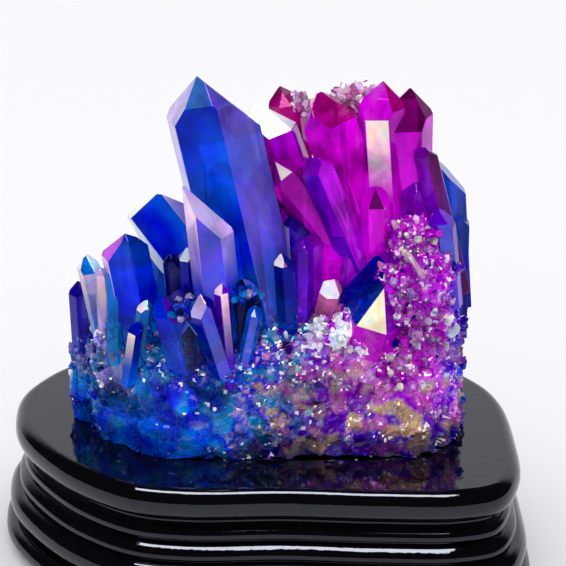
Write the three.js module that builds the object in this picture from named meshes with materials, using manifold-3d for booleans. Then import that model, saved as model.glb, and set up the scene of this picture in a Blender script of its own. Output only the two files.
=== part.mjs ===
// Aura quartz cluster resting on a carved, lacquered stand.
// Millimetres, +Z up, the front faces -Y. The origin is the middle of the stand's underside.

import * as THREE from 'three';
import { ConvexGeometry } from 'three/addons/geometries/ConvexGeometry.js';
import { mergeVertices } from 'three/addons/utils/BufferGeometryUtils.js';
import Module from 'manifold-3d';

const wasm = await Module();
wasm.setup();

// Driving dimensions -----------------------------------------------------------------

const STAND_HEIGHT = 36;
const SEAT_GAP = 0.3; // the stone lies loose on the stand

// Quartz habit: a hexagonal prism closed by six end faces, whose normals stand at this
// angle to the long axis.
const END_FACE_ANGLE = THREE.MathUtils.degToRad(51.8);
const MAJOR_FACE_DROP = 0.12; // every second end face sits lower and so is larger, as a share of the width

// The main crystals, in the stone's own frame: z = 0 is its flat underside.
// tip and foot are on the centre line, width is across the prism's flats, roll turns the
// prism, and slant [direction, drop] lowers the end faces on one side. Both angles are in
// degrees about the long axis, from the front towards the right. Where the end faces are
// more uneven than a slant makes them, drops lowers each of the six by its own amount, from
// the one that roll turns to the front, round to the right.
const MAIN_CRYSTALS = [
  // Left half: the tallest point and the blue crystals round it.
  { tip: [-15.9, 2, 92.3], foot: [-0.6, -2, 22], width: 20.3, roll: -16, drops: [1, 2.1, 9.8, 13.6, 0, 4.7] },
  { tip: [-14.6, -16, 69.7], foot: [-11.3, -16, 30], width: 9.7, roll: 0, drops: [0, 12.5, 11.6, 5, 0, 0] },
  { tip: [-28.4, 14, 54.3], foot: [-8.2, -3, 33.6], width: 18.1, roll: 0, drops: [6.5, 6.5, 19, 26, 6, 4] },
  { tip: [-35.9, -7, 55.3], foot: [-30.6, -7, 22], width: 10.7, roll: -10, drops: [2, 2, 5, 12, 1, 7] },
  { tip: [-44.7, -4, 46.7], foot: [-40.1, -4, 20], width: 5.1, roll: 0, drops: [2.7, 2.4, 1, 0.4, 1.2, 1.4] },
  { tip: [-41, -7, 45], foot: [-39.5, -8, 20], width: 3.5, roll: 0, slant: [0, 0] },
  { tip: [-47, 3, 37], foot: [-46.5, 3, 12], width: 6, roll: 10, slant: [90, 2] },
  { tip: [-36.8, -9, 46.4], foot: [-37.8, -9, 20], width: 5.1, roll: -20, drops: [1, 3.4, 1, 0, 0.6, 1.3] },
  { tip: [-29.5, -16, 40], foot: [-32, -14, 22], width: 3.5, roll: 10, slant: [-60, 1] },
  { tip: [-31.5, -19, 35.5], foot: [-34.5, -15, 17], width: 3.5, roll: 30, slant: [-60, 1] },
  { tip: [-23, -18, 44], foot: [-18, -14, 12.5], width: 11, roll: 40, slant: [60, 3] },
  { tip: [-22.5, -12, 51.5], foot: [-21.5, -10, 28], width: 4.5, roll: 10, slant: [60, 1] },
  { tip: [-19.5, -13, 52.5], foot: [-19, -11, 28], width: 4, roll: 40, slant: [-60, 1] },
  { tip: [-11, -21, 46.5], foot: [-9, -19, 18], width: 3.5, roll: 20, slant: [0, 0.5] },
  { tip: [-6, -18, 46.5], foot: [-4.5, -14, 24], width: 6.5, roll: 5, slant: [0, 2] },
  // Middle: the low crystals between the tall ones and the front ledge.
  { tip: [4, -13, 51], foot: [5.5, -11, 26], width: 5, roll: 20, slant: [90, 1.5] },
  { tip: [8.5, -10, 54], foot: [8.5, -9, 26], width: 4.5, roll: 0, slant: [-90, 1] },
  { tip: [11, -7, 54], foot: [12, -6, 26], width: 4, roll: 30, slant: [0, 1] },
  { tip: [7.8, -2, 57.5], foot: [9.8, -4, 27], width: 8, roll: -10, drops: [0, 7, 6.5, 0, 3, 3] },
  { tip: [15, -3, 51.4], foot: [16.5, -2, 26], width: 7, roll: 25, slant: [60, 2] },
  { tip: [23, -1, 54.4], foot: [19, 0, 30], width: 11, roll: 5, slant: [0, 3] },
  { tip: [36.5, -6, 49.6], foot: [19.3, -6, 29.1], width: 13.2, roll: 18, drops: [3, 3, 3, 2, 2, 1] },
  { tip: [28.3, -14.5, 42.8], foot: [22, -10, 20], width: 13.7, roll: -5, drops: [0, 0, 0, 0, 0, 0] },
  { tip: [16, -13, 43.9], foot: [13, -9, 28], width: 5, roll: 15, slant: [0, 2] },
  // Right half, above: the magenta crystals.
  { tip: [-1.3, 8, 82.9], foot: [13.7, 4, 40], width: 10.8, roll: 20, drops: [3.9, 7.9, 7.9, 0, 3, 0] },
  { tip: [4, 15, 84.5], foot: [9.5, 11, 45], width: 8, roll: 10, slant: [60, 2] },
  { tip: [12.7, 7, 85.4], foot: [28.1, 3, 42], width: 13.2, roll: -30, drops: [0, 3.7, 3.6, 0, 4.4, 3] },
  { tip: [27.1, 5, 88.4], foot: [30.4, 3, 45], width: 10.2, roll: -15, drops: [3.7, 2, 0.3, 0, 1.6, 0] },
  { tip: [34.5, 7, 86], foot: [34.9, 3, 45], width: 10.1, roll: 0, drops: [5.1, 0, 0, 0, 5.8, 0] },
  { tip: [1, 0, 70.5], foot: [18, 0, 46], width: 8, roll: 15, slant: [0, 1] },
  { tip: [10.8, -3, 72.4], foot: [23.2, -2, 42], width: 8, roll: 30, drops: [0, 2.4, 5.1, 0, 2, 2.2] },
  { tip: [26, -7, 66], foot: [27, -2, 40], width: 6.5, roll: 0, slant: [0, 2] },
  { tip: [20.5, 15, 86], foot: [20.5, 12, 50], width: 6, roll: 20, slant: [30, 1] },
  { tip: [25, 17, 86], foot: [25, 12, 50], width: 6, roll: 0, slant: [-30, 1] },
  // Right edge.
  { tip: [37.7, 0, 74.1], foot: [49.7, 0, 35], width: 5.8, roll: 30, drops: [0, 3.2, 5.3, 0, 2, 2] },
  { tip: [44.4, 5, 68], foot: [47.5, 4, 30], width: 7.7, roll: -30, drops: [0, 3, 8.6, 0, 0.6, 2.4] },
  { tip: [47.5, 3, 58], foot: [48, 3, 26], width: 6, roll: 25, slant: [90, 3] },
  { tip: [35.5, 2, 66], foot: [37.5, 0, 40], width: 6.5, roll: 30, slant: [0, 1] },
  { tip: [42, -6, 60], foot: [45, -6, 34], width: 6, roll: 10, slant: [60, 1] },
  { tip: [33.5, -18, 54.5], foot: [38, -15, 42], width: 3, roll: 0, slant: [0, 1] },
  // Back, turned away from the viewer.
  { tip: [-10, 20, 66], foot: [-4, 10, 20], width: 13, roll: 5, slant: [180, 3] },
  { tip: [-27, 17, 48], foot: [-20, 9, 15], width: 10, roll: 25, slant: [180, 2] },
  { tip: [-40, 15, 36], foot: [-34, 8, 10], width: 8, roll: 10, slant: [180, 1] },
  { tip: [8, 24, 62], foot: [9, 12, 22], width: 10, roll: 20, slant: [150, 2] },
  { tip: [24, 25, 69], foot: [22, 12, 28], width: 11, roll: 0, slant: [180, 3] },
  { tip: [38, 20, 60], foot: [34, 10, 22], width: 10, roll: 25, slant: [-150, 2] },
  { tip: [46, 15, 44], foot: [42, 8, 14], width: 8, roll: 10, slant: [120, 1] },
];

// The rock matrix is a row of grown-together lumps, all cut off at the underside.
// at is a lump's middle, and size gives its two half widths and its height.
const LUMPS = [
  { at: [-39, 8], size: [13, 12, 28] },
  { at: [-34, -1], size: [12, 14, 34] },
  { at: [-20, -5], size: [17, 18, 31] },
  { at: [-4, -4], size: [18, 20, 33] },
  { at: [12, -4], size: [20, 18, 35] },
  { at: [30, -5], size: [17, 17, 35] },
  { at: [36, -3], size: [13, 15, 57] },
  { at: [40, 3], size: [9.5, 15, 48] },
  { at: [20, 4], size: [20, 12, 52] },
  { at: [-10, 9], size: [26, 15, 28] },
  { at: [22, 10], size: [24, 14, 40] },
  { at: [17, -13], size: [11, 9, 37] },
];
const LUMP_DETAIL = 2;
const LUMP_SQUARENESS = 3; // 2 is an ellipsoid, higher is boxier
const LUMP_ROUGHNESS = 0.05; // as a share of the lump's size

// Druse: short, broad crystals that crust the matrix.
const DRUSE_COUNT = 48;
const DRUSE_WIDTH = [7, 13];
const DRUSE_STANDS_OUT = [1.5, 3];
const DRUSE_DEPTH = 1; // how far the foot is buried, as a share of the width
const DRUSE_SLANT = 0.2; // how far the end faces are lowered on one side, as a share of the width
const DRUSE_LATITUDE = [0.1, 0.9]; // where on a lump it grows, from its foot (0) to its top (1)
const DRUSE_UPWARD = 0.8; // how far the crystals turn up from the matrix's own slope, at most
const DRUSE_BACK_LIMIT = 14;

// The stand's outline, at its top plate's widest edge.
const STAND_OUTLINE = [
  [-66, 5], [-66, 15], [-62.5, 24], [-56, 33], [-45, 40], [-20, 46], [5, 46], [28, 42], [46, 35],
  [57, 23], [61.5, 12], [63, -8], [62, -26], [57, -36.5], [47, -40.3], [27, -40.5], [4, -39.2],
  [-20, -39.6], [-34, -36.7], [-48, -27], [-58, -15], [-64, -4],
];
const STAND_SEGMENTS = 54;

// Mouldings of the stand's edge, from the top down. Each is a half-round between two
// depths below the top, from an inset inside the outline and bulging outwards. The first
// degrees of a round are left out where the one above it covers them.
const MOULDINGS = [
  { from: 0, to: 8.4, inset: 3.3, bulge: 3.3, covered: 0, steps: 5 },
  { from: 8.8, to: 10.4, inset: 4.6, bulge: 0.7, covered: 0, steps: 2 },
  { from: 11.3, to: 14.9, inset: 3.6, bulge: 1.6, covered: 0, steps: 3 },
  { from: 15.5, to: 19.8, inset: 2.8, bulge: 2.4, covered: 0, steps: 3 },
  { from: 19.1, to: 28.6, inset: 2.8, bulge: 5.2, covered: 35, steps: 5 },
  { from: 29, to: 35.2, inset: -0.8, bulge: 3, covered: 0, steps: 4 },
];
const STAND_FOOT_INSET = 0.5;

// Shared helpers ---------------------------------------------------------------------

const MERGE_DISTANCE = 1e-5;
const GROWTH_SEED = 7;

function seededRandom(seed) {
  let state = seed;
  return () => {
    state = (state + 0x6d2b79f5) | 0;
    let mixed = Math.imul(state ^ (state >>> 15), 1 | state);
    mixed = (mixed + Math.imul(mixed ^ (mixed >>> 7), 61 | mixed)) ^ mixed;
    return ((mixed ^ (mixed >>> 14)) >>> 0) / 2 ** 32;
  };
}

function withSharedVertices(geometry) {
  const bare = geometry.clone();
  bare.deleteAttribute('normal');
  bare.deleteAttribute('uv');
  return mergeVertices(bare, MERGE_DISTANCE);
}

function toSolid(geometry) {
  const shared = withSharedVertices(geometry);
  return new wasm.Manifold(new wasm.Mesh({
    numProp: 3,
    vertProperties: new Float32Array(shared.attributes.position.array),
    triVerts: new Uint32Array(shared.index.array),
  }));
}

// The outer surface alone: small pockets sealed between grown-together pieces are filled.
function withoutPockets(solid) {
  const shells = solid.decompose();
  return shells.reduce((best, shell) => (shell.volume() > best.volume() ? shell : best));
}

function toGeometry(solid) {
  const mesh = solid.getMesh();
  const geometry = new THREE.BufferGeometry();
  geometry.setAttribute('position', new THREE.BufferAttribute(mesh.vertProperties, 3));
  geometry.setIndex(new THREE.BufferAttribute(mesh.triVerts, 1));
  geometry.computeVertexNormals();
  return geometry;
}

// Crystals ---------------------------------------------------------------------------

const ALMOST_PARALLEL = 1e-6;
const TOUCHING = 1e-6;
const SAME_POINT = 1e-4;

function whereThreePlanesMeet(a, b, c) {
  const bc = b.normal.clone().cross(c.normal);
  const volume = a.normal.dot(bc);
  if (Math.abs(volume) < ALMOST_PARALLEL) return null;
  const ca = c.normal.clone().cross(a.normal);
  const ab = a.normal.clone().cross(b.normal);
  return bc.multiplyScalar(-a.constant)
    .addScaledVector(ca, -b.constant)
    .addScaledVector(ab, -c.constant)
    .divideScalar(volume);
}

function cornersOf(planes) {
  const corners = [];
  for (let i = 0; i < planes.length; i += 1) {
    for (let j = i + 1; j < planes.length; j += 1) {
      for (let k = j + 1; k < planes.length; k += 1) {
        const corner = whereThreePlanesMeet(planes[i], planes[j], planes[k]);
        if (!corner) continue;
        const isInside = planes.every((plane) => plane.distanceToPoint(corner) < TOUCHING);
        const isNew = corners.every((other) => other.distanceTo(corner) > SAME_POINT);
        if (isInside && isNew) corners.push(corner);
      }
    }
  }
  return corners;
}

function slantedDrop(face, degrees, width, [slantDirection, slantDrop]) {
  const towardsSlant = Math.cos(THREE.MathUtils.degToRad(degrees - slantDirection));
  return Math.max(0, towardsSlant) * slantDrop + (face % 2) * MAJOR_FACE_DROP * width;
}

// A crystal is what its face planes leave. Its foot is a flat cut, buried in the matrix.
function crystalGeometry({ tip, foot, width, roll, slant, drops }) {
  const base = new THREE.Vector3(...foot);
  const top = new THREE.Vector3(...tip);
  const axis = top.clone().sub(base).normalize();
  const length = top.distanceTo(base);
  const front = new THREE.Vector3(0, -1, 0).projectOnPlane(axis).normalize();
  const side = axis.clone().cross(front);
  const faceDirection = (degrees) => {
    const angle = THREE.MathUtils.degToRad(degrees);
    return front.clone().multiplyScalar(Math.cos(angle)).addScaledVector(side, Math.sin(angle));
  };
  const planes = [new THREE.Plane(axis.clone().negate(), 0)];
  for (let face = 0; face < 6; face += 1) {
    const degrees = roll + 60 * face;
    const outwards = faceDirection(degrees);
    planes.push(new THREE.Plane(outwards, -width / 2));
    const drop = drops ? drops[face] : slantedDrop(face, degrees, width, slant);
    const endNormal = outwards.clone().multiplyScalar(Math.sin(END_FACE_ANGLE))
      .addScaledVector(axis, Math.cos(END_FACE_ANGLE));
    planes.push(new THREE.Plane(endNormal, -(length - drop) * Math.cos(END_FACE_ANGLE)));
  }
  const corners = cornersOf(planes);
  const reached = Math.max(...corners.map((corner) => corner.dot(axis)));
  // The end is slid along the axis, so that its highest corner is level with the tip.
  const slide = length - reached;
  corners.forEach((corner) => {
    if (corner.dot(axis) > TOUCHING) corner.addScaledVector(axis, slide);
    corner.add(base);
  });
  return new ConvexGeometry(corners);
}

// Matrix -----------------------------------------------------------------------------

function onSquaredBall(direction) {
  const p = LUMP_SQUARENESS;
  const sum = Math.abs(direction.x) ** p + Math.abs(direction.y) ** p + Math.abs(direction.z) ** p;
  return direction.clone().multiplyScalar(sum ** (-1 / p));
}

function lumpNormal(direction, [rx, ry, height]) {
  const slope = (value, size) => (Math.sign(value) * Math.abs(value) ** (LUMP_SQUARENESS - 1)) / size;
  const { x, y, z } = direction;
  return new THREE.Vector3(slope(x, rx), slope(y, ry), slope(z, height)).normalize();
}

function lumpGeometry({ at, size }, random) {
  const geometry = withSharedVertices(new THREE.IcosahedronGeometry(1, LUMP_DETAIL));
  const position = geometry.attributes.position;
  const vertex = new THREE.Vector3();
  for (let i = 0; i < position.count; i += 1) {
    vertex.fromBufferAttribute(position, i).normalize();
    const swell = 1 + LUMP_ROUGHNESS * (2 * random() - 1);
    const onLump = onSquaredBall(vertex).multiplyScalar(swell);
    position.setXYZ(i, at[0] + onLump.x * size[0], at[1] + onLump.y * size[1], onLump.z * size[2]);
  }
  return geometry;
}

function isInLump(place, { at, size }) {
  const p = LUMP_SQUARENESS;
  const share = Math.abs((place.x - at[0]) / size[0]) ** p
    + Math.abs((place.y - at[1]) / size[1]) ** p
    + Math.abs(place.z / size[2]) ** p;
  return share < 1;
}

// One small crystal standing out of a lump at random, or nothing where that spot is
// inside the next lump or too far back.
function druseCrystal(lump, random) {
  const between = ([low, high]) => low + (high - low) * random();
  const around = 2 * Math.PI * random();
  const rise = between(DRUSE_LATITUDE);
  const flat = Math.sqrt(1 - rise * rise);
  const direction = new THREE.Vector3(Math.cos(around) * flat, Math.sin(around) * flat, rise);
  const onLump = onSquaredBall(direction);
  const [rx, ry, height] = lump.size;
  const place = new THREE.Vector3(lump.at[0] + onLump.x * rx, lump.at[1] + onLump.y * ry, onLump.z * height);
  const outwards = lumpNormal(onLump, lump.size);
  outwards.z += DRUSE_UPWARD * random();
  outwards.normalize();
  const width = between(DRUSE_WIDTH);
  const tip = place.clone().addScaledVector(outwards, between(DRUSE_STANDS_OUT));
  const foot = place.clone().addScaledVector(outwards, -DRUSE_DEPTH * width);
  const roll = 60 * random();
  const slant = [360 * random(), DRUSE_SLANT * width];
  const isHidden = LUMPS.some((other) => other !== lump && isInLump(place, other));
  if (isHidden || place.y > DRUSE_BACK_LIMIT) return null;
  return { tip: tip.toArray(), foot: foot.toArray(), width, roll, slant };
}

function druse(random) {
  const crystals = [];
  for (let i = 0; crystals.length < DRUSE_COUNT; i += 1) {
    const crystal = druseCrystal(LUMPS[i % LUMPS.length], random);
    if (crystal) crystals.push(crystal);
  }
  return crystals;
}

function quartzCluster() {
  const random = seededRandom(GROWTH_SEED);
  const lumps = LUMPS.map((lump) => lumpGeometry(lump, random));
  const crystals = [...MAIN_CRYSTALS, ...druse(random)].map(crystalGeometry);
  const grown = [...lumps, ...crystals].map(toSolid).reduce((whole, solid) => whole.add(solid));
  const reach = 300; // larger than the stone
  const aboveSeat = new THREE.BoxGeometry(reach, reach, reach).translate(0, 0, reach / 2);
  const cluster = new THREE.Mesh(
    toGeometry(withoutPockets(grown.intersect(toSolid(aboveSeat)))),
    new THREE.MeshStandardMaterial({ color: 0x3d2fd0, roughness: 0.08, metalness: 0 }),
  );
  cluster.name = 'quartz_cluster';
  cluster.position.z = STAND_HEIGHT + SEAT_GAP;
  return cluster;
}

// Stand ------------------------------------------------------------------------------

const LATHE_RADIUS = 50; // only while the edge is turned: the outline then takes its place

function mouldingProfile({ from, to, inset, bulge, covered, steps }) {
  const points = [];
  const start = THREE.MathUtils.degToRad(covered);
  for (let i = 0; i <= steps; i += 1) {
    const angle = start + (i * (Math.PI - start)) / steps;
    const depth = from + (to - from) * (1 - Math.cos(angle)) / 2;
    points.push(new THREE.Vector2(-inset + bulge * Math.sin(angle), STAND_HEIGHT - depth));
  }
  return points;
}

function stand() {
  const corners = STAND_OUTLINE.map(([x, y]) => new THREE.Vector3(x, y, 0));
  const curve = new THREE.CatmullRomCurve3(corners, true);
  const edge = MOULDINGS.flatMap(mouldingProfile);
  edge.push(new THREE.Vector2(-STAND_FOOT_INSET, 0));
  const profile = [
    new THREE.Vector2(0, STAND_HEIGHT),
    ...edge.map(({ x, y }) => new THREE.Vector2(LATHE_RADIUS + x, y)),
    new THREE.Vector2(0, 0),
  ];
  const geometry = new THREE.LatheGeometry(profile, STAND_SEGMENTS);
  const position = geometry.attributes.position;
  const perTurn = profile.length;
  for (let i = 0; i < position.count; i += 1) {
    const segment = Math.floor(i / perTurn) % STAND_SEGMENTS;
    const point = profile[i % perTurn];
    const share = segment / STAND_SEGMENTS;
    const rim = curve.getPointAt(share);
    const along = curve.getTangentAt(share);
    const outset = point.x - LATHE_RADIUS;
    if (point.x === 0) position.setXYZ(i, 0, 0, point.y);
    else position.setXYZ(i, rim.x - along.y * outset, rim.y + along.x * outset, point.y);
  }
  const shared = withSharedVertices(geometry);
  shared.computeVertexNormals();
  const mesh = new THREE.Mesh(
    shared,
    new THREE.MeshStandardMaterial({ color: 0x050505, roughness: 0.06, metalness: 0 }),
  );
  mesh.name = 'stand';
  return mesh;
}

// Assembly ---------------------------------------------------------------------------

const part = new THREE.Group();
part.add(stand(), quartzCluster());

// Both pieces are shifted together, so that the stand is centred on the origin.
const middle = new THREE.Box3().setFromObject(part).getCenter(new THREE.Vector3());
part.position.set(-middle.x, -middle.y, 0);

export default part;
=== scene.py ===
"""Aura quartz cluster on its lacquered stand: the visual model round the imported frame."""
import itertools
import math
import random

import bmesh
import bpy
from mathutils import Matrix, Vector, noise


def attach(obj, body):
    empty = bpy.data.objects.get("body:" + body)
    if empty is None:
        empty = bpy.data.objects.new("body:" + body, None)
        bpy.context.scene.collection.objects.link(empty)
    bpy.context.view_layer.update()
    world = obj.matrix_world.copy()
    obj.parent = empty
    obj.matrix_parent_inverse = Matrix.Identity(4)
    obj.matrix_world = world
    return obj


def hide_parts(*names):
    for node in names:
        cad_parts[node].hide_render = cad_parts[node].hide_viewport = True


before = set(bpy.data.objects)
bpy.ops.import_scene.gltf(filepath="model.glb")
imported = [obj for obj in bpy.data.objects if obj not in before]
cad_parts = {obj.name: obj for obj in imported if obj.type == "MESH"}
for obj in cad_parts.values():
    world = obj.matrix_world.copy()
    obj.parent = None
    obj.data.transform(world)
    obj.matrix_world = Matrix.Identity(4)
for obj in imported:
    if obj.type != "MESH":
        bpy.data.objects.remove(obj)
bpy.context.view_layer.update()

MM = 0.001
SEED = 11

# Where things are -------------------------------------------------------------------

STAND_TOP = 36.0
SEAT_GAP = 0.3
CENTRING = (1.656, -2.875)  # brings the middle of the part's box over the frame's origin, mm
STONE_SHIFT = Vector((*CENTRING, STAND_TOP + SEAT_GAP))
STAND_SHIFT = Vector((*CENTRING, 0))

# Colours of the coating, and white for painted highlights (linear) --------------------

ULTRAMARINE = (0.008, 0.07, 1.0)
INDIGO = (0.14, 0.13, 1.0)
IRIS = (0.17, 0.13, 0.85)
DEEP_BLUE = (0.02, 0.02, 0.45)
AZURE = (0.03, 0.32, 1.0)
SKY = (0.06, 0.28, 1.0)
NAVY = (0.006, 0.03, 0.6)
VIOLET = (0.22, 0.06, 0.80)
PURPLE = (0.32, 0.015, 0.65)
ORCHID = (0.68, 0.07, 1.0)
MAGENTA = (0.95, 0.045, 0.98)
MAGENTA_SHADE = (0.72, 0.025, 0.75)
CRIMSON = (0.50, 0.015, 0.22)
GARNET = (0.12, 0.003, 0.08)
TEAL = (0.05, 0.36, 0.62)
ROSE = (0.85, 0.25, 0.55)
PLUM = (0.16, 0.02, 0.14)
INK = (0.003, 0.005, 0.12)
MAUVE = (0.42, 0.18, 0.80)
LILAC = (0.60, 0.45, 0.95)
PALE_PINK = (0.95, 0.62, 0.85)
# white, painted where a face, a cell of the matrix or a small crystal stands for a highlight
WHITE_GLINT = (0.92, 0.92, 1.00)
STRAW = (0.95, 0.85, 0.50)
ICE = (0.50, 0.85, 1.00)
GOLD = (0.92, 0.62, 0.26)
WINE = (0.90, 0.20, 0.62)

# How far a face in each of these colours is a painted reflection of the light, partly the
# coating's own pale sheen: it is less clear, paler, whiter in its sheen and takes on interference
# colours.
PAINTED_GLINTS = {
    SKY: 0.12,
    IRIS: 0.15,
    INDIGO: 0.2,
    MAUVE: 0.2,
    LILAC: 0.45,
    PALE_PINK: 0.6,
    ICE: 0.8,
    STRAW: 0.9,
    WHITE_GLINT: 1.0,
}
# Painted glints this strong or more fade out down a prism face.
FADING_GLINT = 0.4  # a prism face with at least this glint fades towards the crystal's foot
GLINT_FADE = (0.3, 0.85)  # where the fade ends and begins, as shares of the crystal's length

# Crystals: tip, foot and width across flats in the stone's own mm, roll in degrees, slant,
# body colour and glints. The end faces are 0 to 5 and the prism faces 6 to 11, both from the
# front round to the right. The slant is how much lower each end face is cut, in mm: six
# numbers, or the direction that the end is cut towards, in degrees, and its drop there on
# top of the major faces' own.
# The glints are {face number: colour} for the faces that aren't the body's colour; a colour with a
# weight in the table of glints above is also painted there as a reflection of the light.
END_FACE_ANGLE = math.radians(51.8)
MAJOR_FACE_DROP = 0.12  # for every second end face, as a share of the width
BEVEL = 0.12  # mm
NO_SLANT = (0, 0)

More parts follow.
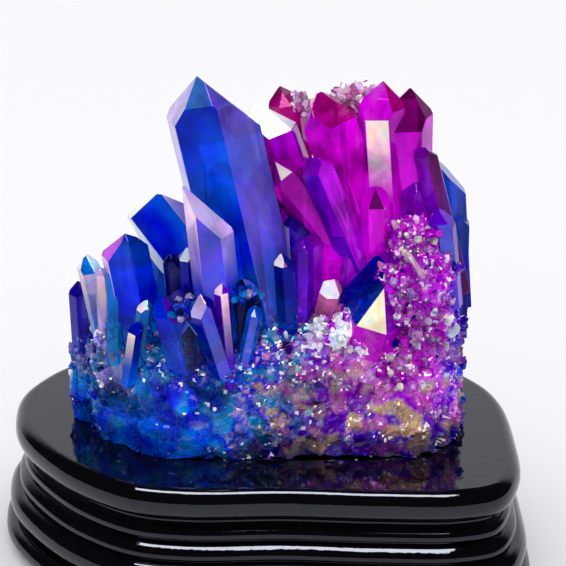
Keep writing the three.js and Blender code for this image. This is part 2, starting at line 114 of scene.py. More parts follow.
CRYSTALS = [
    ((-15.9, 2, 92.3), (-0.6, -2, 22), 20.3, -16, (1, 2.1, 9.8, 13.6, 0, 4.7), ULTRAMARINE,
     {5: LILAC, 11: LILAC, 7: IRIS, 1: INDIGO, 2: INDIGO, 0: SKY}),
    ((-14.6, -16, 69.7), (-11.3, -16, 30), 9.7, 0, (0, 12.5, 11.6, 5, 0, 0), ULTRAMARINE,
     {11: PALE_PINK, 0: MAUVE, 1: LILAC, 6: INDIGO, 7: LILAC}),
    ((-28.4, 14, 54.3), (-8.2, -3, 33.6), 18.1, 0, (6.5, 6.5, 19, 26, 6, 4), ULTRAMARINE,
     {0: WHITE_GLINT, 1: WHITE_GLINT, 3: WHITE_GLINT, 5: WHITE_GLINT, 4: WHITE_GLINT, 11: ICE, 7: LILAC}),
    ((-35.9, -7, 55.3), (-30.6, -7, 22), 10.7, -10, (2, 2, 5, 12, 1, 7), ULTRAMARINE,
     {5: ORCHID, 11: PALE_PINK}),
    ((-44.7, -4, 46.7), (-40.1, -4, 20), 5.1, 0, (2.7, 2.4, 1, 0.4, 1.2, 1.4), AZURE,
     {6: LILAC, 11: PALE_PINK, 5: WHITE_GLINT, 1: ICE}),
    ((-41, -7, 45), (-39.5, -8, 20), 3.5, 0, (0, 0), LILAC, {6: PALE_PINK}),
    ((-47, 3, 37), (-46.5, 3, 12), 6, 10, (90, 2), DEEP_BLUE, {}),
    ((-36.8, -9, 46.4), (-37.8, -9, 20), 5.1, -20, (1, 3.4, 1, 0, 0.6, 1.3), AZURE, {}),
    ((-29.5, -16, 40), (-32, -14, 22), 3.5, 10, (-60, 1), AZURE, {0: WHITE_GLINT, 5: WHITE_GLINT}),
    ((-31.5, -19, 35.5), (-34.5, -15, 17), 3.5, 30, (-60, 1), ULTRAMARINE, {0: ICE, 11: STRAW}),
    ((-24.5, -17, 42), (-19, -14, 12.5), 8, 40, (60, 3), ULTRAMARINE, {0: VIOLET}),
    ((-19.5, -15.5, 41), (-18, -13, 18), 10, 15, (-40, 2), INK, {5: INDIGO}),
    ((-16.5, -23, 44), (-11, -19, 22), 5.5, 20, (-60, 2), DEEP_BLUE,
     {5: LILAC, 0: INDIGO, 6: INDIGO}),
    ((-2.5, -22, 41), (-5.5, -18, 25), 3.4, 0, (40, 1), ULTRAMARINE, {0: ICE, 6: INDIGO}),
    ((-13.3, -22, 31.6), (-22, -14, 41), 4.2, 10, (0, 1), DEEP_BLUE, {0: STRAW, 5: ICE, 7: ICE}),
    ((-23, -12, 50.5), (-21.5, -10, 28), 4.5, 10, (60, 1), INK, {}),
    ((-19.5, -13, 52.5), (-19, -11, 28), 4, 40, (-60, 1), DEEP_BLUE, {5: ICE}),
    ((-11, -21, 46.5), (-9, -19, 18), 3.5, 20, (0, 0.5), VIOLET, {6: PALE_PINK, 5: PALE_PINK}),
    ((-5.9, -17, 45.8), (-5, -14, 24), 7, 5, (0, 2), INK, {1: INDIGO}),
    ((4, -13, 51), (5.5, -11, 26), 5, 20, (90, 1.5), DEEP_BLUE, {0: ROSE, 5: WHITE_GLINT}),
    ((8.5, -10, 54), (8.5, -9, 26), 4.5, 0, (-90, 1), VIOLET, {0: LILAC}),
    ((11, -7, 54), (12, -6, 26), 4, 30, (0, 1), PURPLE, {}),
    ((7.8, -2, 57.5), (9.8, -4, 27), 8, -10, (0, 7, 6.5, 0, 3, 3), DEEP_BLUE, {11: LILAC}),
    ((15, -3, 51.4), (16.5, -2, 26), 7, 25, (60, 2), MAGENTA, {}),
    ((23, -1, 54.4), (19, 0, 30), 11, 5, (0, 3), PURPLE, {0: PLUM}),
    ((36.5, -6, 49.6), (19.3, -6, 29.1), 13.2, 18, (3, 3, 3, 2, 2, 1), DEEP_BLUE,
     {10: LILAC, 5: PURPLE, 4: PURPLE, 0: MAGENTA, 1: MAGENTA, 6: MAGENTA, 7: MAGENTA}),
    ((28.3, -14.5, 42.8), (22, -10, 20), 13.7, -5, (0, 0, 0, 0, 0, 0), MAGENTA_SHADE,
     {0: STRAW, 5: DEEP_BLUE, 1: PURPLE}),
    ((16, -13, 43.9), (13, -9, 28), 5, 15, (0, 2), ROSE, {0: WHITE_GLINT, 5: WHITE_GLINT}),
    ((-1.3, 8, 82.9), (13.7, 4, 40), 10.8, 20, (8, 7.9, 7.9, 0, 3, 0), ORCHID,
     {0: WHITE_GLINT, 1: WHITE_GLINT, 2: WHITE_GLINT, 5: PLUM}),
    ((4, 15, 84.5), (9.5, 11, 45), 8, 10, (60, 2), CRIMSON, {}),
    ((12.7, 7, 85.4), (28.1, 3, 42), 13.2, -30, (0, 3.7, 3.6, 0, 4.4, 3), MAGENTA,
     {0: PURPLE, 1: CRIMSON, 2: CRIMSON}),
    ((27.1, 5, 88.4), (30.4, 3, 45), 10.2, -15, (3.7, 2, 0.3, 0, 1.6, 0), MAGENTA,
     {6: STRAW, 5: WHITE_GLINT, 1: CRIMSON}),
    ((33.4, 6, 86.4), (34, 7, 40), 12.2, 4, (3.5, 1, 0, 0, 3, 0), MAGENTA_SHADE,
     {0: GARNET, 1: GARNET, 5: CRIMSON, 2: GARNET}),
    ((1, 0, 70.5), (18, 0, 46), 8, 15, (0, 1), MAGENTA, {0: WHITE_GLINT}),
    ((10.8, -3, 72.4), (23.2, -2, 42), 8, 30, (0, 2.4, 5.1, 0, 2, 2.2), ORCHID,
     {0: PURPLE, 11: VIOLET, 5: PURPLE}),
    ((26, -7, 66), (27, -2, 40), 6.5, 0, (0, 2), MAGENTA, {0: PLUM}),
    ((19.5, 15, 83), (20.5, 12, 50), 8, 20, (30, 1), ROSE, {0: WHITE_GLINT}),
    ((25, 16, 83.5), (25, 12, 50), 8, 0, (-30, 1), ROSE, {0: WHITE_GLINT}),
    ((37.7, 0, 74.1), (47.9, 1, 35), 5.8, 30, (0, 3.2, 5.3, 0, 2, 2), PURPLE,
     {7: LILAC, 6: PLUM, 0: TEAL}),
    ((44.4, 5, 68), (47.5, 4, 30), 7.7, -30, (0, 3, 8.6, 0, 0.6, 2.4), NAVY, {}),
    ((47, 3, 58), (47.5, 3, 24), 6, 25, (90, 3), NAVY, {}),
    ((35.5, 2, 66), (37.5, 0, 40), 6.5, 30, (0, 1), PURPLE, {}),
    ((42, -6, 60), (45, -6, 34), 6, 10, (60, 1), VIOLET, {6: INDIGO}),
    ((33.4, -17.5, 53), (37.5, -16, 46), 1.3, 0, (0, 1), PALE_PINK, {6: WHITE_GLINT}),
    ((-10, 20, 66), (-4, 10, 20), 13, 5, (180, 3), ULTRAMARINE, {}),
    ((-27, 17, 48), (-20, 9, 15), 10, 25, (180, 2), ULTRAMARINE, {}),
    ((-40, 15, 36), (-34, 8, 10), 8, 10, (180, 1), AZURE, {}),
    ((8, 24, 62), (9, 12, 22), 10, 20, (150, 2), PURPLE, {}),
    ((24, 25, 69), (22, 12, 28), 11, 0, (180, 3), MAGENTA, {}),
    ((38, 20, 60), (34, 10, 22), 10, 25, (-150, 2), PURPLE, {}),
    ((46, 15, 44), (42, 8, 14), 8, 10, (120, 1), VIOLET, {}),
]

# Lumps of matrix: middle, and half-width, half-depth and height, in mm.
LUMPS = [
    ((-39, 8), (13, 12, 28)),
    ((-34, -1), (12, 14, 34)),
    ((-20, -5), (17, 18, 31)),
    ((-4, -4), (18, 20, 33)),
    ((12, -4), (20, 18, 35)),
    ((30, -5), (17, 17, 35)),
    ((36, -3), (13, 15, 57)),
    ((40, 3), (9.5, 15, 48)),
    ((20, 4), (20, 12, 52)),
    ((-10, 9), (26, 15, 28)),
    ((22, 10), (24, 14, 40)),
    ((17, -13), (11, 9, 37)),
]
LUMP_SQUARENESS = 3  # 2 is a plain ball, and more is squarer

# The stand's outline at its top plate's widest edge.
STAND_OUTLINE = [
    (-66, 5), (-66, 15), (-62.5, 24), (-56, 33), (-45, 40), (-20, 46), (5, 46), (28, 42),
    (46, 35), (57, 23), (61.5, 12), (63, -8), (62, -26), (57, -36.5), (47, -40.3),
    (27, -40.5), (4, -39.2), (-20, -39.6), (-34, -36.7), (-48, -27), (-58, -15), (-64, -4),
]
CURVE_STEPS = 60  # for each span between two of its points
STAND_TURN_STEPS = 288
# Mouldings from the top down, in mm: from and to below the top, inset of both ends from the
# outline, how far it stands out between them, degrees of its round that the one above
# covers, and the length of its straight shoulder.
MOULDINGS = [
    (0.0, 8.4, 3.3, 3.3, 0, 0),
    (8.8, 10.4, 4.6, 0.7, 0, 0),
    (11.3, 14.9, 3.6, 1.6, 0, 0),
    (15.5, 19.8, 2.8, 2.4, 0, 1.3),
    (19.1, 28.6, 2.8, 5.2, 35, 0),
    (29.0, 35.2, -0.8, 3.0, 0, 0),
]
SHOULDER_SLOPE = math.radians(50)
MOULDING_STEPS = 18
GROOVE_ANGLE = math.radians(40)  # a crease sharper than this isn't shaded smooth
STAND_FOOT_INSET = 0.5

# Numbers and colours ------------------------------------------------------------------


def mix(a, b, share):
    share = min(1.0, max(0.0, share))
    return tuple(x + (y - x) * share for x, y in zip(a, b))


def ramp(value, low, high):
    """A smooth step from 0 at the low value to 1 at the high one."""
    share = min(1.0, max(0.0, (value - low) / (high - low)))
    return share * share * (3 - 2 * share)


def picked(options, chance):
    """One of the (share, value) options, by a chance from 0 to 1."""
    for share, value in options:
        if chance < share:
            return value
        chance -= share
    return None


def cell_chance(point):
    """A random number from 0 to 1, the same all over each unit cell of space."""
    return (1 + noise.cell(point)) / 2


def cell_of(point, size):
    """The seed of the irregular cell that a point is in, for cells of about a size in mm."""
    return noise.voronoi(point / size)[1][0]


# Mesh helpers -------------------------------------------------------------------------

PARALLEL = 1e-6  # the normals of three planes that span less than this don't meet at a point
OUTSIDE = 1e-4  # how far past a plane a point still counts as on it, mm
TOUCHING = 1e-3  # how far apart two places still count as one, mm
ROUNDING = 1e-9  # mm
FIRST_PRISM_FACE = 6


def new_object(name, bm):
    mesh = bpy.data.meshes.new(name)
    bm.to_mesh(mesh)
    bm.free()
    obj = bpy.data.objects.new(name, mesh)
    bpy.context.scene.collection.objects.link(obj)
    return obj


def evaluated_mesh(obj):
    graph = bpy.context.evaluated_depsgraph_get()
    return bpy.data.meshes.new_from_object(obj.evaluated_get(graph))


def planes_meet(a, b, c):
    """The point where three planes (normal, offset) cross, or None."""
    bc = b[0].cross(c[0])
    volume = a[0].dot(bc)
    if abs(volume) < PARALLEL:
        return None
    return (bc * a[1] + c[0].cross(a[0]) * b[1] + a[0].cross(b[0]) * c[1]) / volume


def crystal_planes(length, width, roll, slant, axis, front, side):
    """(normal, offset) of the six end faces, the six prism faces and the base."""
    planes = []
    for face in range(6):
        angle = math.radians(roll + 60 * face)
        outwards = front * math.cos(angle) + side * math.sin(angle)
        if len(slant) == 6:
            drop = slant[face]
        else:
            lean = max(0.0, math.cos(angle - math.radians(slant[0])))
            drop = lean * slant[1] + (face % 2) * MAJOR_FACE_DROP * width
        end = outwards * math.sin(END_FACE_ANGLE) + axis * math.cos(END_FACE_ANGLE)
        planes.append((end, (length - drop) * math.cos(END_FACE_ANGLE)))
    for face in range(6):
        angle = math.radians(roll + 60 * face)
        planes.append((front * math.cos(angle) + side * math.sin(angle), width / 2))
    planes.append((-axis, 0.0))
    return planes


def crystal_corners(planes):
    """The corners of the solid that the planes enclose, and the planes that each lies on."""
    corners = []
    on_planes = []
    for trio in itertools.combinations(planes, 3):
        point = planes_meet(*trio)
        if point is None:
            continue
        if any(n.dot(point) - d > OUTSIDE for n, d in planes):
            continue
        if any((point - other).length < TOUCHING for other in corners):
            continue
        corners.append(point)
        touched = {m for m, (n, d) in enumerate(planes) if abs(n.dot(point) - d) < TOUCHING}
        on_planes.append(touched)
    return corners, on_planes


def add_crystal(bm, tip, foot, width, roll, slant, body, glints, bevel=0.0, metal=0.0):
    """One closed hexagonal crystal in mm, its faces' coating colours and painted glints put into a
    layer of the mesh.
    """
    film_and_glint = bm.loops.layers.float_color["film_and_glint"]
    metal_layer = bm.loops.layers.float["metal"]
    number = bm.faces.layers.int["plane"]
    base, top = Vector(foot), Vector(tip)
    axis = (top - base).normalized()
    length = (top - base).length
    front = Vector((0, -1, 0))
    front = (front - axis * front.dot(axis)).normalized()
    side = axis.cross(front)
    planes = crystal_planes(length, width, roll, slant, axis, front, side)
    corners, on_planes = crystal_corners(planes)
    slide = length - max(c.dot(axis) for c in corners)
    verts = []
    for corner in corners:
        lifted = corner + axis * (slide if corner.dot(axis) > TOUCHING else 0.0)
        verts.append(bm.verts.new(lifted + base))
    made = []
    for m, (normal, _) in enumerate(planes):
        ring = [v for v, on in zip(verts, on_planes) if m in on]
        if len(ring) < 3:
            continue
        middle = sum((v.co for v in ring), Vector()) / len(ring)
        u = (ring[0].co - middle).normalized()
        w = normal.cross(u)
        ring.sort(key=lambda v: math.atan2((v.co - middle).dot(w), (v.co - middle).dot(u)))
        face = bm.faces.new(ring)
        face[number] = m
        made.append(face)
    edges = list(dict.fromkeys(e for f in made for e in f.edges))
    if any(len(e.link_faces) != 2 for e in edges):
        # the corners are too close together for its faces to close up
        bmesh.ops.delete(bm, geom=verts, context="VERTS")
        return
    if bevel:
        bmesh.ops.bevel(bm, geom=edges, offset=bevel, segments=1, affect="EDGES", loop_slide=False)
        for share in GLINT_FADE:
            cut = base + axis * length * share
            geometry = [*bm.verts, *bm.edges, *bm.faces]
            bmesh.ops.bisect_plane(bm, geom=geometry, plane_co=cut, plane_no=axis)
        made = bm.faces
    # A face in a glint colour is a painted reflection; on a prism face a strong one fades down
    # towards the foot.
    for face in made:
        m = face[number]
        colour = glints.get(m, body)
        weight = PAINTED_GLINTS.get(colour, 0.0)
        for loop in face.loops:
            up = (loop.vert.co - base).dot(axis) / length
            fades = m >= FIRST_PRISM_FACE and weight >= FADING_GLINT
            fade = ramp(up, *GLINT_FADE) if fades else 1.0
            loop[film_and_glint] = (*mix(body, colour, fade), weight * fade)
            loop[metal_layer] = metal


def painted_bmesh():
    bm = bmesh.new()
    # the coating's colour, with the painted glint in its alpha
    bm.loops.layers.float_color.new("film_and_glint")
    bm.loops.layers.float.new("metal")
    bm.faces.layers.int.new("plane")
    return bm


def stone_object(name, bm):
    """Turns a bmesh in the stone's own millimetres into an object in the frame's metres."""
    bmesh.ops.translate(bm, verts=bm.verts, vec=STONE_SHIFT)
    bmesh.ops.scale(bm, verts=bm.verts, vec=(MM, MM, MM))
    return new_object(name, bm)


# Matrix -------------------------------------------------------------------------------

VOXEL = 0.5
REMESH_MARGIN = 2.0  # the lumps go this far below the seat before they are cut flat
# Facets of the matrix's surface: size in mm, and how far they lean and step, as shares of it.
COARSE_FACETS = (7.0, 0.5, 0.15)
FINE_FACETS = (1.9, 0.7, 0.25)
CRINKLES = (1.1, 0.9, 0.1)
RELIEF_DROP = 1.2  # how far all facets go back into the lumps, mm
SMOOTH_WEAR = 0.6  # the share of the fine facets' height that the smooth part has lost
LOW_WEAR = 0.35  # and the low part
STEP_PLACE = Vector((31.7, 11.3, 5.9))  # so that a facet's step has a chance of its own
MOST_METAL = 0.35

# Soft patches: size in mm, and a place in the noise for each.
WINE_PATCH = (5, Vector((7, 3, 1)))
GOLD_PATCH = (4.5, Vector((40, 13, 5)))
TEAL_PATCH = (4, Vector((4, 50, 21)))
DARK_PATCH = (8, Vector((3, 22, 9)))
# Flat chips and small flecks: size in mm, and the share of each colour among them.
CHIP = 2.4
CHIPS = ((0.07, GOLD), (0.07, PALE_PINK), (0.06, TEAL), (0.04, ICE), (0.06, INK))
FLECK = 0.9
FLECKS = ((0.015, STRAW), (0.04, PALE_PINK), (0.02, ICE), (0.03, ROSE), (0.04, LILAC), (0.03, INK))
# Painted white sparkles, which stand for highlights: size in mm, on the ledge and elsewhere, the
# chance from which a cell is one, and how far that chance shifts on the ledge, low down and where
# the matrix is smooth.
LEDGE_SPARKLE = 2.6
SPARKLE = 0.8
SPARKLE_FROM = 0.93
LEDGE_SHIFT = -0.55
LOW_SHIFT = 0.05
SMOOTH_SHIFT = 0.013
# A cell's place is stretched by each of these for a chance of its own.
SHADE_KEY = 5.3
FLECK_KEY = 7.7
CHIP_KEY = 6.1
GLINT_KEY = 3.1
SPARKLE_KEY = 4.9
METAL_KEY = 9.3


def squared_ball(direction):
    total = sum(abs(value) ** LUMP_SQUARENESS for value in direction)
    return direction * total ** (-1 / LUMP_SQUARENESS)


def add_lump(bm, at, size):
    made = bmesh.ops.create_icosphere(bm, subdivisions=4, radius=1.0)
    for vert in made["verts"]:
        on_lump = squared_ball(vert.co.normalized())
        height = max(on_lump.z * size[2], -REMESH_MARGIN)
        vert.co = (at[0] + on_lump.x * size[0], at[1] + on_lump.y * size[1], height)


def facet_relief(point, size, tilt, step):
    """Height of a patchwork of flat, randomly leaning facets, one to a cell, in mm."""
    scaled = point / size
    seed = cell_of(point, size)
    lean = noise.cell_vector(seed) - Vector((0.5, 0.5, 0.5))
    level = noise.cell(seed + STEP_PLACE)
    return size * (tilt * lean.dot(scaled - seed) + step * level)


def patch(point, size, place):
    """Soft noise from -1 to 1, with features of about a size in mm."""
    return noise.noise(point / size + place)


def low_share(point):
    """How low a point is on the matrix, from 0 at 30 mm to 1 at 14 mm."""
    return ramp(-point.z, -30, -14)


def smooth_share(point):
    """How far the matrix is worn smooth and glassy, as it is low down on the left."""
    return ramp(-point.x, 0, 14) * ramp(-point.z, -26, -15)


def on_wall(point):
    """The steep crusted wall on the right, from 0 to 1."""
    return ramp(point.x, 24, 34) * ramp(point.z, 12, 30)


def on_ledge(point):
    """The ledge before the magenta crystals, where white highlights are painted, from 0 to 1."""
    x, y, z = point
    return ramp(x, 6, 12) * ramp(-x, -30, -24) * ramp(-y, 7, 11) * ramp(z, 24, 29)


def matrix_colour(point):
    """The coating's colour on the matrix: a base by place, then soft patches, flat chips,
    small flecks, dark patches where it is worn smooth, and painted shade towards the seat.
    The ramps' limits are places on the stone, in mm."""
    x, y, z = point
    wall = on_wall(point)
    low = low_share(point)
    wander = 6 * noise.noise(point / 14) + 3 * noise.noise(point / 5)
    colour = mix(ULTRAMARINE, VIOLET, ramp(x + wander, -8, 12))
    colour = mix(colour, ORCHID, ramp(x + 2 * wander, 8, 26) * ramp(z, 4, 26))
    colour = mix(colour, ULTRAMARINE, ramp(x + wander / 2, 42, 47) * 0.85)
    colour = mix(colour, AZURE, ramp(-x, 26, 34) * ramp(z, 6, 14) * 0.8)
    colour = mix(colour, LILAC, ramp(-x, 31, 36) * ramp(z + wander, 11, 17) * 0.75)

    wine = ramp(patch(point, *WINE_PATCH), 0.0, 0.35)
    colour = mix(colour, WINE, wine * ramp(x, -10, 8) * (0.85 - 0.6 * wall))
    gold = ramp(patch(point, *GOLD_PATCH), -0.05, 0.3)
    colour = mix(colour, GOLD, gold * ramp(x, -12, 6) * low * 0.9)
    teal = ramp(patch(point, *TEAL_PATCH), 0.0, 0.35)
    colour = mix(colour, TEAL, teal * ramp(-x, -16, 0) * 0.8)

    rough = 1 - 0.75 * smooth_share(point + Vector((wander, 0, 0)))
    chip = cell_of(Vector((x + z / 2, y, 1.5 * z)), CHIP)
    chip_colour = picked(CHIPS, cell_chance(chip * CHIP_KEY))
    if chip_colour:
        colour = mix(colour, chip_colour, rough * ramp(x, -26, -18) * ramp(-x, -16, -8) * 0.9)
    cell = cell_of(point, FLECK)
    shade = 1.15 + 0.15 * wall + 0.15 * low * ramp(x, 4, 20)
    shade += 0.5 * rough * (cell_chance(cell * SHADE_KEY) - 0.5)
    fleck = picked(FLECKS, cell_chance(cell * FLECK_KEY))
    if fleck:
        colour = mix(colour, fleck, rough * (1 - 0.5 * low))
    dark = ramp(patch(point, *DARK_PATCH), -0.05, 0.25)
    colour = mix(colour, INK, dark * (1 - rough))
    # painted shade: darker towards the seat, where the stone sits on the black stand
    colour = mix(colour, INK, ramp(-z - wander / 2, -9, 0) * 0.85)
    return tuple(min(1.0, shade * value) for value in colour)


def remeshed_lumps():
    """The lumps of matrix as one even mesh, in mm."""
    bm = bmesh.new()
    for at, size in LUMPS:
        add_lump(bm, at, size)
    lumps = new_object("lumps", bm)
    remesh = lumps.modifiers.new("remesh", "REMESH")
    remesh.mode = "VOXEL"
    remesh.voxel_size = VOXEL
    mesh = evaluated_mesh(lumps)
    bpy.data.objects.remove(lumps)
    bm = bmesh.new()
    bm.from_mesh(mesh)
    return bm


def matrix_object():
    """The matrix as an object, and the (place, normal) of each of its corners."""
    bm = remeshed_lumps()
    for vert in bm.verts:
        point = vert.co.copy()
        worn = SMOOTH_WEAR * smooth_share(point)
        crinkled = on_wall(point) * ramp(-point.x, -46, -40)
        fine = facet_relief(point, *FINE_FACETS) * (1 - LOW_WEAR * low_share(point))
        fine += facet_relief(point, *CRINKLES) * crinkled
        coarse = facet_relief(point, *COARSE_FACETS)
        vert.co += vert.normal * (coarse * (1 - worn / 2) + fine * (1 - worn) - RELIEF_DROP)
    film_and_glint = bm.loops.layers.float_color.new("film_and_glint")
    metal = bm.loops.layers.float.new("metal")
    paint = {vert: matrix_colour(vert.co) for vert in bm.verts}
    for face in bm.faces:
        middle = face.calc_center_median()
        ledge, low, smooth = on_ledge(middle), low_share(middle), smooth_share(middle)
        rough = 1 - smooth
        cell = cell_of(middle, FINE_FACETS[0])
        # Painted light: some fine facets get a painted glint, and a few cells are painted white as
        # highlights.
        glint = rough * (0.5 - 0.3 * low) * ramp(cell_chance(cell * GLINT_KEY), 0.5, 0.95)
        sparkle = cell_of(middle, LEDGE_SPARKLE if ledge > 0.3 else SPARKLE)
        rare = SPARKLE_FROM + LEDGE_SHIFT * ledge + LOW_SHIFT * low + SMOOTH_SHIFT * smooth
        sparkles = cell_chance(sparkle * SPARKLE_KEY) > rare
        for loop in face.loops:
            loop[film_and_glint] = (*WHITE_GLINT, 1.0) if sparkles else (*paint[loop.vert], glint)
            loop[metal] = 0.0 if sparkles else rough * MOST_METAL * cell_chance(cell * METAL_KEY)
    bm.normal_update()
    spots = [(vert.co.copy(), vert.normal.copy()) for vert in bm.verts]
    return stone_object("matrix", bm), spots


# Druse --------------------------------------------------------------------------------

DRUSE_TRIES = 6600  # random places, of which some keep a crystal
DRUSE_WIDTH = (0.7, 2.0)  # mm
DRUSE_STANDS_OUT = (0.5, 1.6)  # in its own widths
DRUSE_ROOT = 0.7  # how far its foot is inside the matrix, in its own widths
DRUSE_SLANT = 0.25  # how much lower one side of its end is cut, in its own widths
DRUSE_LEAN = 0.5  # how far it may turn any way from the surface's normal
DRUSE_RISE = Vector((0, 0, 0.9))  # how far it turns upwards from there
# The share of each colour among the crystals; the white ones are painted highlights and the pale
# ones partly so. The others have the matrix's own.
DRUSE_GLINTS = ((0.06, WHITE_GLINT), (0.01, STRAW), (0.03, PALE_PINK), (0.05, LILAC), (0.04, DEEP_BLUE))
# Crystals on the ledge that are painted white stand for highlights.
WHITE_ON_LEDGE = 0.6  # the share of white crystals on the ledge

WHITISH = (WHITE_GLINT, PALE_PINK, PALE_PINK, ROSE)
BLUISH = (INK, NAVY, DEEP_BLUE, DEEP_BLUE, ULTRAMARINE, AZURE, LILAC)
# Druse in clumps, on two crystals behind the magenta ones and at the feet of the blue ones:
# middle and reach in mm, how many, and colours. In the whitish clumps, the white crystals are
# painted highlights.
CLUMPS = [
    ((22.3, 15, 80), (6, 3, 4), 90, WHITISH),
    ((7.5, 14, 77.5), (4, 2.5, 4), 45, WHITISH),
    ((-19.3, -15.5, 36.5), (5, 5, 4), 60, BLUISH),
    ((-6, -17, 41), (3.4, 3.4, 3), 20, BLUISH),
]
CLUMP_WIDTH = (1.0, 2.2)  # mm
CLUMP_ROOT = 3  # how far the foot goes in, mm
CLUMP_SIDES = ((-1, 1), (-1, 0.3), (0, 1))  # a clump faces left and right, forwards and up

DRUSE_RADIUS = 0.4  # the space that a crystal's sides keep in its group, in its own widths
DRUSE_METAL_KEY = 3


def druse_share(point, normal):
    """How thickly small crystals crust the matrix at a place, from 0 to 1. None grow at the
    seat or under an overhang."""
    x, y, z = point
    if z < 4 or normal.z < -0.3:
        return 0.0
    wall = 0.5 * on_wall(point)
    ledge = 0.5 * on_ledge(point)
    left = ramp(-x, 32, 38) * ramp(z, 8, 16)
    back = 0.35 * ramp(y, 2, 12)
    between = 0.3 * ramp(z, 24, 28) * ramp(-x, -10, -4)
    elsewhere = 0.04 * (1 - smooth_share(point))
    return max(wall, ledge, left, back, between, elsewhere)


def scattered_crystals(chance, spots):
    """Rows, as in CRYSTALS, for small crystals at random places on the matrix."""
    rows = []
    narrow, wide = DRUSE_WIDTH
    for _ in range(DRUSE_TRIES):
        point, normal = spots[chance.randrange(len(spots))]
        lean = Vector([chance.uniform(-DRUSE_LEAN, DRUSE_LEAN) for _ in range(3)]) + DRUSE_RISE
        outwards = (normal + lean).normalized()
        width = narrow + (wide - narrow) * chance.random() ** 2
        stands_out = width * chance.uniform(*DRUSE_STANDS_OUT)
        roll = chance.uniform(0, 60)
        slant = (chance.uniform(0, 360), DRUSE_SLANT * width)
        # some crystals take a glint colour, and on the ledge many are painted white as highlights
        body = picked(DRUSE_GLINTS, chance.random()) or matrix_colour(point)
        if chance.random() < WHITE_ON_LEDGE * on_ledge(point):
            body = WHITE_GLINT
        if chance.random() > druse_share(point, normal):
            continue
        tip = point + outwards * stands_out
        foot = point - outwards * width * DRUSE_ROOT
        rows.append((tip, foot, width, roll, slant, body, {}))
    return rows


def clumped_crystals(chance):
    """Rows, as in CRYSTALS, for the small crystals of the clumps."""
    rows = []
    for middle, reach, count, colours in CLUMPS:
        for _ in range(count):
            outwards = Vector([chance.uniform(*limits) for limits in CLUMP_SIDES])
            outwards.normalize()
            point = Vector(middle) + Vector([span * share for span, share in zip(reach, outwards)])
            width = chance.uniform(*CLUMP_WIDTH)
            roll = chance.uniform(0, 60)
            body = chance.choice(colours)
            tip = point + outwards * width
            foot = point - outwards * CLUMP_ROOT
            rows.append((tip, foot, width, roll, NO_SLANT, body, {}))
    return rows


def druse_groups(rows):
    """Objects that each hold many small crystals, of which no two touch."""
    groups = []
    for row in rows:
        tip, foot, width, *_ = row
        middle = (tip + foot) / 2
        reach = (tip - foot).length / 2 + width * DRUSE_RADIUS
        for group in groups:
            if all((middle - other).length > reach + span for other, span, _ in group):
                group.append((middle, reach, row))
                break
        else:
            groups.append([(middle, reach, row)])
    solids = []
    for number, group in enumerate(groups):
        bm = painted_bmesh()
        for _, _, row in group:
            tip = row[0]
            add_crystal(bm, *row, metal=MOST_METAL * cell_chance(tip * DRUSE_METAL_KEY))
        solids.append(stone_object(f"druse_{number}", bm))
    return solids


# Joining ------------------------------------------------------------------------------

BLOCK_SIZE = 300  # wider than the stone, mm


def add_boolean(obj, other, operation):
    modifier = obj.modifiers.new("boolean", "BOOLEAN")
    modifier.operation = operation
    modifier.solver = "MANIFOLD"
    modifier.object = other


def below_seat():
    """A block under the stone, which its flat cut removes."""
    bm = painted_bmesh()
    bmesh.ops.create_cube(bm, size=BLOCK_SIZE)
    bmesh.ops.translate(bm, verts=bm.verts, vec=(0, 0, -BLOCK_SIZE / 2))
    for face in bm.faces:
        for loop in face.loops:
            loop[bm.loops.layers.float_color["film_and_glint"]] = (*DEEP_BLUE, 0.0)
    return stone_object("below_seat", bm)


def grown_together(name, solids):
    """One solid from overlapping ones, cut off flat at the seat. The sources are deleted."""
    first = solids[0]
    for other in solids[1:]:
        add_boolean(first, other, "UNION")
    block = below_seat()
    add_boolean(first, block, "DIFFERENCE")
    mesh = evaluated_mesh(first)
    mesh.name = name
    mesh.materials.clear()
    mesh.polygons.foreach_set("material_index", [0] * len(mesh.polygons))
    joined = bpy.data.objects.new(name, mesh)
    bpy.context.scene.collection.objects.link(joined)
    for obj in [*solids, block]:
        bpy.data.objects.remove(obj)
    return joined


# Stand --------------------------------------------------------------------------------


def closed_curve(points, count):
    """Evenly spaced places on a smooth closed curve through the points, and its normals."""
    dense = []
    for i in range(len(points)):
        p0, p1, p2, p3 = (Vector(points[(i + k - 1) % len(points)]) for k in range(4))
        knots = [0.0]
        for a, b in ((p0, p1), (p1, p2), (p2, p3)):
            knots.append(knots[-1] + (b - a).length ** 0.5)
        for step in range(CURVE_STEPS):
            at = knots[1] + (knots[2] - knots[1]) * step / CURVE_STEPS
            a1 = p0.lerp(p1, (at - knots[0]) / (knots[1] - knots[0]))
            a2 = p1.lerp(p2, (at - knots[1]) / (knots[2] - knots[1]))
            a3 = p2.lerp(p3, (at - knots[2]) / (knots[3] - knots[2]))
            b1 = a1.lerp(a2, (at - knots[0]) / (knots[2] - knots[0]))
            b2 = a2.lerp(a3, (at - knots[1]) / (knots[3] - knots[1]))
            dense.append(b1.lerp(b2, (at - knots[1]) / (knots[2] - knots[1])))
    total = sum((dense[i - 1] - dense[i]).length for i in range(len(dense)))
    places = []
    walked = 0.0
    for i in range(len(dense)):
        here, ahead = dense[i], dense[(i + 1) % len(dense)]
        span = (ahead - here).length
        while len(places) < count and walked + span > total * len(places) / count - ROUNDING:
            share = (total * len(places) / count - walked) / span
            places.append(here.lerp(ahead, max(0.0, share)))
        walked += span
    rim = []
    for i, place in enumerate(places):
        along = (places[(i + 1) % count] - places[i - 1]).normalized()
        rim.append((place, Vector((-along.y, along.x))))
    return rim


